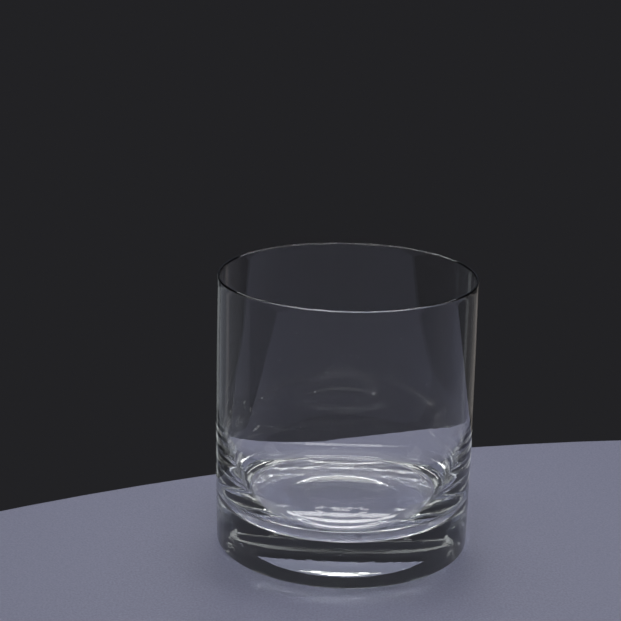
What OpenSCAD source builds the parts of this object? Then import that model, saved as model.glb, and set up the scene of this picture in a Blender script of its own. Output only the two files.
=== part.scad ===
// Rocks glass: a clear tumbler with a thin, nearly straight wall and a heavy solid base.
// It is one piece of glass, so its half section is drawn once and turned round the Z axis.
// The foot stands on z = 0, and the axis of the glass is the Z axis.

/* [Outside] */
// Outside diameter at the rim
rim_d = 86; // [76:0.5:110]
// Height from the table to the top of the lip
height = 94; // [80:0.5:130]
// How far the wall swells past the rim, on the radius
belly_swell = 0.3; // [0:0.05:2]
// Height of the widest place on the wall
belly_z = 56; // [30:1:70]
// How far the wall draws in at the heel, against the rim, on the radius
heel_draw = 0.25; // [0:0.05:3]
// Radius of the round heel between the wall and the foot
heel_r = 2.25; // [1:0.25:8]

/* [Foot] */
// Diameter of the domed hollow under the middle of the base
hollow_d = 44; // [30:0.5:60]
// Depth of that hollow
hollow_depth = 1; // [0.4:0.1:4]
// Width of the flat ring round the hollow, which the glass stands on
foot_w = 2; // [1:0.25:6]
// How far the underside rises from that ring out to the heel
foot_rise = 0.7; // [0.1:0.05:0.9]

/* [Wall and lip] */
// Thickness of the rounded lip
lip_t = 1; // [0.8:0.1:2.5]
// Thickness of the wall where the inside starts to curve in
wall_t = 1.3; // [0.8:0.1:4]

/* [Bowl] */
// Height of the flat floor above the table
floor_z = 14.7; // [8:0.1:25]
// Height of the inside curve, from the floor up to the even wall
bowl_rise = 37; // [20:0.5:60]
// Width of the inside curve, from the floor's edge out to the even wall
corner_w = 10.1; // [5:0.1:22]
// Angle at which the curve leaves the floor, which shows as a fine crease
crease_angle = 10; // [0:0.5:25]
// Share of its height along which the curve keeps to the wall
wall_pull = 0.5; // [0.2:0.01:0.9]
// Share of its width along which the curve keeps to the floor
floor_pull = 0.6; // [0.2:0.01:0.9]

/* [Smoothness] */
// Steps round the whole glass
round_steps = 180; // [60:12:360]
// Steps along each curved stretch of the section
curve_steps = 16; // [8:1:32]

/* [Hidden] */

rim_r = rim_d / 2;
belly_r = rim_r + belly_swell;
heel_wall_r = rim_r - heel_draw;
heel_in_r = heel_wall_r - heel_r;
hollow_r = hollow_d / 2;
foot_r = hollow_r + foot_w;
// Sphere that gives the hollow its depth across its width
hollow_sphere_r = (hollow_r ^ 2 + hollow_depth ^ 2) / (2 * hollow_depth);
lip_r = lip_t / 2;
lip_z = height - lip_r;
bowl_z = floor_z + bowl_rise;
bowl_r = outside_r(bowl_z) - wall_t;
floor_r = bowl_r - corner_w;
glass_colour = [0.86, 0.9, 0.91, 0.4];

// Even steps from 0 to 1, both ends included
function steps(count) = [for (i = [0:count]) i / count];

// Outside radius of the wall: widest at the belly, drawn in to the rim and to the heel
function outside_r(z) =
    z >= belly_z
        ? belly_r - (belly_r - rim_r) * ((z - belly_z) / (height - belly_z)) ^ 2
        : belly_r - (belly_r - heel_wall_r) * ((belly_z - z) / (belly_z - heel_r)) ^ 2;

// Thickness of the even wall, from the lip down to the start of the inside curve
function thickness(z) = wall_t + (lip_t - wall_t) * (z - bowl_z) / (lip_z - bowl_z);

// Point on a smooth curve from a to d that leaves a towards b and reaches d from c
function curve_point(a, b, c, d, t) =
    a * (1 - t) ^ 3 + 3 * b * t * (1 - t) ^ 2 + 3 * c * t ^ 2 * (1 - t) + d * t ^ 3;

// Domed hollow under the base, from the axis out to the ring
function hollow_points() = [
    for (t = steps(curve_steps))
        let (r = t * hollow_r)
        [r, sqrt(hollow_sphere_r ^ 2 - r ^ 2) - (hollow_sphere_r - hollow_depth)]
];

// Round heel, from the outer end of the underside up to the wall
function heel_points() = [
    for (t = steps(curve_steps))
        let (a = 90 * t)
        [heel_in_r + heel_r * sin(a), heel_r - (heel_r - foot_rise) * cos(a)]
];

// Outside of the wall, from above the heel to below the lip
function wall_points() = [
    for (t = steps(curve_steps))
        let (z = heel_r + (lip_z - heel_r) * t)
        if (t > 0 && t < 1) [outside_r(z), z]
];

// Rounded lip, from the outside over to the inside
function lip_points() = [
    for (t = steps(curve_steps))
        let (a = 180 * t)
        [outside_r(lip_z) - lip_r + lip_r * cos(a), lip_z + lip_r * sin(a)]
];

// Inside of the even wall, from below the lip to above the inside curve
function inner_wall_points() = [
    for (t = steps(curve_steps))
        let (z = lip_z + (bowl_z - lip_z) * t)
        if (t > 0 && t < 1) [outside_r(z) - thickness(z), z]
];

// Inside curve, down from the even wall and in to the edge of the floor
function bowl_points() =
    let (
        top = [bowl_r, bowl_z],
        along_wall = [bowl_r, bowl_z - wall_pull * bowl_rise],
        edge = [floor_r, floor_z],
        reach = floor_pull * corner_w,
        along_floor = edge + reach * [1, tan(crease_angle)]
    )
    [for (t = steps(2 * curve_steps)) curve_point(top, along_wall, along_floor, edge, t)];

// Half section of the glass, closed along the axis by the flat floor
module half_section() {
    polygon(concat(
        hollow_points(),
        [[foot_r, 0]],
        heel_points(),
        wall_points(),
        lip_points(),
        inner_wall_points(),
        bowl_points(),
        [[0, floor_z]]
    ));
}

module tumbler() {
    color(glass_colour)
        rotate_extrude($fn = round_steps)
            half_section();
}

tumbler();
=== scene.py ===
"""Looks of a clear rocks glass: one piece of glass on a plain pale table top, in soft studio light."""
import math

import bpy
import numpy as np
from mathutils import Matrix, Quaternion, Vector


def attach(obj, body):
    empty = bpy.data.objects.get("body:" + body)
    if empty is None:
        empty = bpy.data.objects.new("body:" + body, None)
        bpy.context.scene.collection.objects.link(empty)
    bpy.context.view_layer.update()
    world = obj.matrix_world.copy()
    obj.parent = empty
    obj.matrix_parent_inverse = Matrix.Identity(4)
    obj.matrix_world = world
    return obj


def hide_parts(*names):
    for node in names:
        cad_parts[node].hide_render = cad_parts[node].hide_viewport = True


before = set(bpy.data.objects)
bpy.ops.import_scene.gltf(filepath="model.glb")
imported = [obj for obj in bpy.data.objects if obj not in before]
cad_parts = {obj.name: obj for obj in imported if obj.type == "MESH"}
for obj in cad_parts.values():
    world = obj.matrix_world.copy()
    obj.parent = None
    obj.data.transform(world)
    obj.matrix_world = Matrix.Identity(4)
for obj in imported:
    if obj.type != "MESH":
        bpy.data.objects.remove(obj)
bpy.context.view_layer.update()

MM = 0.001

# Outside of the glass, in millimetres and degrees, as in the CAD source
RIM_R = 43.0
HEIGHT = 94.0
# 0.01 less than in the CAD source, so that the finer facets stay inside its box
BELLY_SWELL = 0.29
BELLY_Z = 56.0
HEEL_DRAW = 0.25
HEEL_R = 2.25

# Underside: its hollow, the flat ring that the glass stands on, and its rise from there to the heel
HOLLOW_R = 22.0
HOLLOW_DEPTH = 1.0
FOOT_W = 2.0
FOOT_RISE = 0.7

# Wall and lip
LIP_T = 1.0
WALL_T = 1.3

# Bowl
FLOOR_Z = 14.7
BOWL_RISE = 37.0
CORNER_W = 10.1
CREASE_ANGLE = 10.0
WALL_PULL = 0.5
FLOOR_PULL = 0.6

# Fine rings left in the glass when it was spun: their pitches, their depth on each surface,
# and the run over which they fade out at its ends
RING_PITCHES = (3.0, 1.9, 4.7)
BOWL_RING_DEPTH = 0.002
FLOOR_RING_DEPTH = 0.004
UNDERSIDE_RING_DEPTH = 0.007
RING_FADE = 8.0

# Fine groove round the floor
GROOVE_DEPTH = 0.18
GROOVE_W = 0.4

# Steps round the glass and along each stretch of its section
ROUND_STEPS = 168
HOLLOW_STEPS = 70
UNDERSIDE_STEPS = 50
HEEL_STEPS = 16
WALL_STEPS = 40
LIP_STEPS = 16
INNER_WALL_STEPS = 24
BOWL_STEPS = 220
FLOOR_STEPS = 130
# Above 1, so that the floor's steps are closest at the groove
FLOOR_STEP_POWER = 1.3
# Radius, in millimetres, below which a point of a section is on the axis
ON_AXIS = 1e-9

# Camera of the photograph, in millimetres and degrees
CAMERA_AT = (0.0, -531.9, 238.9)
CAMERA_AIM = (-12.15, 0.0, 81.34)
CAMERA_ROLL = 1.206
CAMERA_LENS = 97.1
CAMERA_SENSOR = 36

# Round table top, with its edge a little behind the glass
TABLE_AT = (205.0, -487.0)
TABLE_R = 600.0
TABLE_T = 18.0
TABLE_EDGE_R = 3.0
TABLE_EDGE_STEPS = 8
# The foot touches the table only in a few points, so light still turns back at its face
CONTACT_GAP = 0.12

# Glass: its tint, the scuffs under its foot and the faint waves of its surface
GLASS_IOR = 1.52
GLASS_TINT = (0.86, 0.95, 0.93, 1)
GLASS_DENSITY = 4.0
SCUFF_Z = 0.05
SCUFF_GRAIN = 1.2
SCUFF_DETAIL = 6
SCUFF_RANGE = (0.5, 0.7)
SCUFF_ROUGHNESS = 0.25
WAVE_GRAIN = 14.0
WAVE_DETAIL = 1
WAVE_DEPTH = 0.002

# Table: its tones, its roughness where it is dark and where it is pale, and its grain
TABLE_DARK = (0.146, 0.152, 0.222, 1)
TABLE_PALE = (0.175, 0.182, 0.264, 1)
TABLE_ROUGHNESS = (0.65, 0.5)
TABLE_GRAIN = 0.7
TABLE_GRAIN_DETAIL = 4
TABLE_GRAIN_RANGE = (0.3, 0.7)
TABLE_GRAIN_DEPTH = 0.05

# Light: the tone of the room and the colours of the lamps
ROOM_TONE = (0.016, 0.016, 0.018, 1)
WHITE = (1, 1, 1)
COOL = (0.8, 0.87, 1)
FAINTLY_COOL = (0.9, 0.97, 1)
WARM = (1, 0.93, 0.88)
FAINTLY_WARM = (1, 0.96, 0.94)

# Lamps: name; place, aim, and width and height, in millimetres; power in watts; colour
LAMP_AIM = (0, 0, 50)
LAMPS = (
    ("ceiling", (0, 0, 1200), (0, 0, 0), (2000, 2000), 8.5, WHITE),
    ("top_strip", (0, 0, 700), LAMP_AIM, (600, 60), 1.6, WHITE),
    ("back_strip", (0, 460, 510), LAMP_AIM, (700, 60), 1.3, WHITE),
    ("low_back_strip", (0, 519, 441), LAMP_AIM, (215, 22), 0.3, WHITE),
    ("front_strip", (0, -563, 375), LAMP_AIM, (1100, 60), 0.7, WHITE),
    ("left_strip", (-700, 0, 300), LAMP_AIM, (200, 500), 0.2, WHITE),
    ("right_strip", (700, 0, 300), LAMP_AIM, (200, 500), 0.2, WHITE),
    ("left_card", (-232, 480, -85), (-43, 0, 40), (80, 330), 0.0166, FAINTLY_COOL),
    ("right_card", (232, 480, -85), (43, 0, 40), (80, 330), 0.014, WARM),
    ("left_far_card", (-360, 380, -60), (-43, 0, 60), (250, 200), 0.006, COOL),
    ("right_far_card", (360, 380, -60), (43, 0, 60), (250, 200), 0.005, FAINTLY_WARM),
    ("left_low_card", (-427, 200, -72), (-35, -25, 60), (480, 130), 0.03, COOL),
)
# This card only shows as a gleam on the wall, not as a pane seen through the glass
GLEAM_CARD = "left_low_card"

# Bounces of light that thick glass needs
GLASS_BOUNCES = 32
MIRROR_BOUNCES = 16


belly_r = RIM_R + BELLY_SWELL
heel_wall_r = RIM_R - HEEL_DRAW
heel_in_r = heel_wall_r - HEEL_R
foot_r = HOLLOW_R + FOOT_W
hollow_sphere_r = (HOLLOW_R ** 2 + HOLLOW_DEPTH ** 2) / (2 * HOLLOW_DEPTH)
lip_r = LIP_T / 2
lip_z = HEIGHT - lip_r
bowl_z = FLOOR_Z + BOWL_RISE


def outside_r(z):
    """Outside radius of the wall: widest at the belly, drawn in to the rim and to the heel."""
    if z >= BELLY_Z:
        return belly_r - (belly_r - RIM_R) * ((z - BELLY_Z) / (HEIGHT - BELLY_Z)) ** 2
    return belly_r - (belly_r - heel_wall_r) * ((BELLY_Z - z) / (BELLY_Z - HEEL_R)) ** 2


bowl_r = outside_r(bowl_z) - WALL_T
floor_r = bowl_r - CORNER_W


def steps(count):
    """Even steps from 0 to 1, both ends included."""
    return [i / count for i in range(count + 1)]


def thickness(z):
    """Thickness of the even wall, from the lip down to the start of the inside curve."""
    return WALL_T + (LIP_T - WALL_T) * (z - bowl_z) / (lip_z - bowl_z)


def rings(run, length):
    """Height of the fine rings at a run along a surface of this length, for a depth of 1."""
    fade = np.clip(np.minimum(run, length - run) / RING_FADE, 0, 1)
    waves = [np.sin(2 * math.pi * run / pitch + turn) for turn, pitch in enumerate(RING_PITCHES)]
    return fade * sum(waves) / len(waves)


def hollow_points():
    """Domed hollow under the base, from the axis out to the ring that the glass stands on."""
    drop = hollow_sphere_r - HOLLOW_DEPTH
    radii = np.linspace(0, HOLLOW_R, HOLLOW_STEPS + 1)
    heights = np.sqrt(hollow_sphere_r ** 2 - radii ** 2) - drop
    heights += UNDERSIDE_RING_DEPTH * rings(radii, HOLLOW_R)
    return list(zip(radii, heights))


def underside_points():
    """Underside round the hollow, from the ring that the glass stands on up to the heel."""
    radii = np.linspace(foot_r, heel_in_r, UNDERSIDE_STEPS + 1)[:-1]
    heights = FOOT_RISE * (radii - foot_r) / (heel_in_r - foot_r)
    heights += UNDERSIDE_RING_DEPTH * rings(radii - foot_r, heel_in_r - foot_r)
    return list(zip(radii, heights))


def heel_points():
    """Round heel, from the outer end of the underside up to the wall."""
    turns = [t * math.pi / 2 for t in steps(HEEL_STEPS)]
    height = HEEL_R - FOOT_RISE
    return [(heel_in_r + HEEL_R * math.sin(a), HEEL_R - height * math.cos(a)) for a in turns]


def wall_points():
    """Outside of the wall, from above the heel to below the lip."""
    heights = [HEEL_R + (lip_z - HEEL_R) * t for t in steps(WALL_STEPS)[1:-1]]
    return [(outside_r(z), z) for z in heights]


def lip_points():
    """Rounded lip, from the outside over to the inside."""
    middle = outside_r(lip_z) - lip_r
    turns = [t * math.pi for t in steps(LIP_STEPS)]
    return [(middle + lip_r * math.cos(a), lip_z + lip_r * math.sin(a)) for a in turns]


def inner_wall_points():
    """Inside of the even wall, from below the lip to above the inside curve."""
    heights = [lip_z + (bowl_z - lip_z) * t for t in steps(INNER_WALL_STEPS)[1:-1]]
    return [(outside_r(z) - thickness(z), z) for z in heights]


def groove(away):
    """Depth of the fine groove round the floor, at a distance from the floor's edge."""
    return GROOVE_DEPTH * np.exp(-(away / (GROOVE_W / 2)) ** 2)


def bowl_points():
    """Inside curve with its fine rings, down from the even wall and in to the floor's edge."""
    top = np.array((bowl_r, bowl_z))
    along_wall = np.array((bowl_r, bowl_z - WALL_PULL * BOWL_RISE))
    edge = np.array((floor_r, FLOOR_Z))
    reach = FLOOR_PULL * CORNER_W
    along_floor = edge + reach * np.array((1, math.tan(math.radians(CREASE_ANGLE))))
    t = np.array(steps(BOWL_STEPS))[:, None]
    curve = (top * (1 - t) ** 3 + 3 * along_wall * t * (1 - t) ** 2
             + 3 * along_floor * t ** 2 * (1 - t) + edge * t ** 3)
    tangent = np.gradient(curve, axis=0)
    tangent /= np.linalg.norm(tangent, axis=1)[:, None]
    inward = np.column_stack((tangent[:, 1], -tangent[:, 0]))
    run = np.concatenate(([0], np.cumsum(np.linalg.norm(np.diff(curve, axis=0), axis=1))))
    rise = BOWL_RING_DEPTH * rings(run, run[-1]) - groove(run[-1] - run)
    return [tuple(p) for p in curve + inward * rise[:, None]]


def floor_points():
    """Flat floor, from the groove round its edge to the axis, with its closest steps at the groove."""
    insets = floor_r * np.array(steps(FLOOR_STEPS)[1:]) ** FLOOR_STEP_POWER
    heights = FLOOR_Z + FLOOR_RING_DEPTH * rings(insets, floor_r) - groove(insets)
    return list(zip(floor_r - insets, heights))


def section():
    """Half section of the glass, from the axis below to the axis above."""
    return (hollow_points() + underside_points() + heel_points() + wall_points() + lip_points()
            + inner_wall_points() + bowl_points() + floor_points())


def turned(name, outline, count):
    """Mesh object made by turning an outline of radius and height, in millimetres, round the Z axis."""
    verts = []
    circles = []
    for r, z in outline:
        first = len(verts)
        if r < ON_AXIS:
            verts.append((0.0, 0.0, z * MM))
            circles.append([first] * count)
            continue
        for i in range(count):
            a = 2 * math.pi * i / count
            verts.append((r * MM * math.cos(a), r * MM * math.sin(a), z * MM))
        circles.append(list(range(first, first + count)))
    faces = []
    for near, far in zip(circles, circles[1:]):
        for i in range(count):
            j = (i + 1) % count
            corners = (near[i], near[j], far[j], far[i])
            # On the axis two corners are the same point, and the face is a triangle
            faces.append(tuple(dict.fromkeys(corners)))
    mesh = bpy.data.meshes.new(name)
    mesh.from_pydata(verts, [], faces)
    mesh.shade_smooth()
    piece = bpy.data.objects.new(name, mesh)
    bpy.context.scene.collection.objects.link(piece)
    return piece


def new_material(name):
    """New material, with its nodes, its links and its shader."""
    material = bpy.data.materials.new(name)
    material.use_nodes = True
    nodes = material.node_tree.nodes
    return material, nodes, material.node_tree.links, nodes["Principled BSDF"]


def place_socket(nodes):
    """Place on the piece, in metres."""
    return nodes.new("ShaderNodeTexCoord").outputs["Object"]


def noise(nodes, links, place, grain, detail):
    """Noise from 0 to 1 whose blotches are about this many millimetres across."""
    node = nodes.new("ShaderNodeTexNoise")
    node.inputs["Scale"].default_value = 1 / (grain * MM)
    node.inputs["Detail"].default_value = detail
    links.new(place, node.inputs["Vector"])
    return node.outputs["Fac"]


def spread(nodes, links, value, old_range, new_range):
    """Value stretched from one range to another, and held at its ends."""
    node = nodes.new("ShaderNodeMapRange")
    node.inputs["From Min"].default_value = old_range[0]
    node.inputs["From Max"].default_value = old_range[1]
    node.inputs["To Min"].default_value = new_range[0]
    node.inputs["To Max"].default_value = new_range[1]
    links.new(value, node.inputs["Value"])
    return node.outputs["Result"]


def product(nodes, links, first, second):
    """Product of two values."""
    node = nodes.new("ShaderNodeMath")
    node.operation = "MULTIPLY"
    links.new(first, node.inputs[0])
    links.new(second, node.inputs[1])
    return node.outputs["Value"]


def bump(nodes, links, shader, height, depth):
    """Relief on the shader, up to this many millimetres deep."""
    node = nodes.new("ShaderNodeBump")
    node.inputs["Distance"].default_value = depth * MM
    links.new(height, node.inputs["Height"])
    links.new(node.outputs["Normal"], shader.inputs["Normal"])


def glass_material():
    """Clear, fire-polished glass: a trace of green in its depth, faint waves, and a scuffed foot."""
    material, nodes, links, shader = new_material("clear_glass")
    shader.inputs["Base Color"].default_value = (1, 1, 1, 1)
    shader.inputs["IOR"].default_value = GLASS_IOR
    shader.inputs["Transmission Weight"].default_value = 1.0
    volume = nodes.new("ShaderNodeVolumeAbsorption")
    volume.inputs["Color"].default_value = GLASS_TINT
    volume.inputs["Density"].default_value = GLASS_DENSITY
    links.new(volume.outputs["Volume"], nodes["Material Output"].inputs["Volume"])
    place = place_socket(nodes)
    split = nodes.new("ShaderNodeSeparateXYZ")
    links.new(place, split.inputs["Vector"])
    on_foot = spread(nodes, links, split.outputs["Z"], (0, SCUFF_Z * MM), (1, 0))
    blotches = noise(nodes, links, place, SCUFF_GRAIN, SCUFF_DETAIL)
    scuffs = spread(nodes, links, blotches, SCUFF_RANGE, (0, SCUFF_ROUGHNESS))
    links.new(product(nodes, links, on_foot, scuffs), shader.inputs["Roughness"])
    waves = noise(nodes, links, place, WAVE_GRAIN, WAVE_DETAIL)
    bump(nodes, links, shader, waves, WAVE_DEPTH)
    return material


def table_material():
    """Plain pale table top with a fine dry grain."""
    material, nodes, links, shader = new_material("pale_table")
    grain = noise(nodes, links, place_socket(nodes), TABLE_GRAIN, TABLE_GRAIN_DETAIL)
    tones = nodes.new("ShaderNodeValToRGB")
    for stop, place, tone in zip(tones.color_ramp.elements, TABLE_GRAIN_RANGE, (TABLE_DARK, TABLE_PALE)):
        stop.position = place
        stop.color = tone
    links.new(grain, tones.inputs["Fac"])
    links.new(tones.outputs["Color"], shader.inputs["Base Color"])
    roughness = spread(nodes, links, grain, TABLE_GRAIN_RANGE, TABLE_ROUGHNESS)
    links.new(roughness, shader.inputs["Roughness"])
    bump(nodes, links, shader, grain, TABLE_GRAIN_DEPTH)
    return material


def area_light(name, at, aim, size, power, colour):
    """Soft rectangular lamp, placed and aimed in millimetres."""
    lamp = bpy.data.lights.new(name, "AREA")
    lamp.shape = "RECTANGLE"
    lamp.size = size[0] * MM
    lamp.size_y = size[1] * MM
    lamp.energy = power
    lamp.color = colour
    holder = bpy.data.objects.new(name, lamp)
    holder.location = Vector(at) * MM
    holder.rotation_euler = (Vector(aim) - Vector(at)).to_track_quat("-Z", "Y").to_euler()
    holder.visible_camera = False
    holder.visible_transmission = name != GLEAM_CARD
    bpy.context.scene.collection.objects.link(holder)


def add_lights():
    """Soft ceiling, strips round the glass, and cards below the table's edge that draw its outline."""
    for lamp in LAMPS:
        area_light(*lamp)


def add_world():
    """Plain dark grey room."""
    world = bpy.data.worlds.new("studio")
    world.use_nodes = True
    world.node_tree.nodes["Background"].inputs["Color"].default_value = ROOM_TONE
    bpy.context.scene.world = world


def add_camera():
    """Camera at the photograph's place, with its slight roll."""
    camera = bpy.data.cameras.new("camera")
    camera.sensor_width = CAMERA_SENSOR
    camera.lens = CAMERA_LENS
    holder = bpy.data.objects.new("camera", camera)
    holder.location = Vector(CAMERA_AT) * MM
    level = (Vector(CAMERA_AIM) - Vector(CAMERA_AT)).to_track_quat("-Z", "Y")
    roll = Quaternion((0, 0, 1), math.radians(CAMERA_ROLL))
    holder.rotation_euler = (level @ roll).to_euler()
    bpy.context.scene.collection.objects.link(holder)
    bpy.context.scene.camera = holder


def add_glass():
    """The tumbler, in place of its CAD solid."""
    glass = turned("tumbler_glass", section(), ROUND_STEPS)
    glass.data.materials.append(glass_material())
    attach(glass, "root")
    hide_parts("tumbler")


def add_table():
    """Round table top under the glass."""
    top = -CONTACT_GAP
    inner = TABLE_R - TABLE_EDGE_R
    turns = [t * math.pi / 2 for t in steps(TABLE_EDGE_STEPS)]
    edge = [(inner + TABLE_EDGE_R * math.cos(a), top - TABLE_EDGE_R + TABLE_EDGE_R * math.sin(a))
            for a in turns]
    below = top - TABLE_T
    outline = [(0, below), (TABLE_R, below)] + edge + [(0, top)]
    table = turned("table_top", outline, ROUND_STEPS)
    table.data.materials.append(table_material())
    table.location = (TABLE_AT[0] * MM, TABLE_AT[1] * MM, 0)


def set_rendering():
    """Plain colour transform, and enough light bounces for thick glass."""
    scene = bpy.context.scene
    scene.view_settings.view_transform = "Standard"
    scene.cycles.max_bounces = GLASS_BOUNCES
    scene.cycles.transmission_bounces = GLASS_BOUNCES
    scene.cycles.glossy_bounces = MIRROR_BOUNCES
    scene.cycles.blur_glossy = 0


add_glass()
add_table()
add_lights()
add_world()
add_camera()
set_rendering()
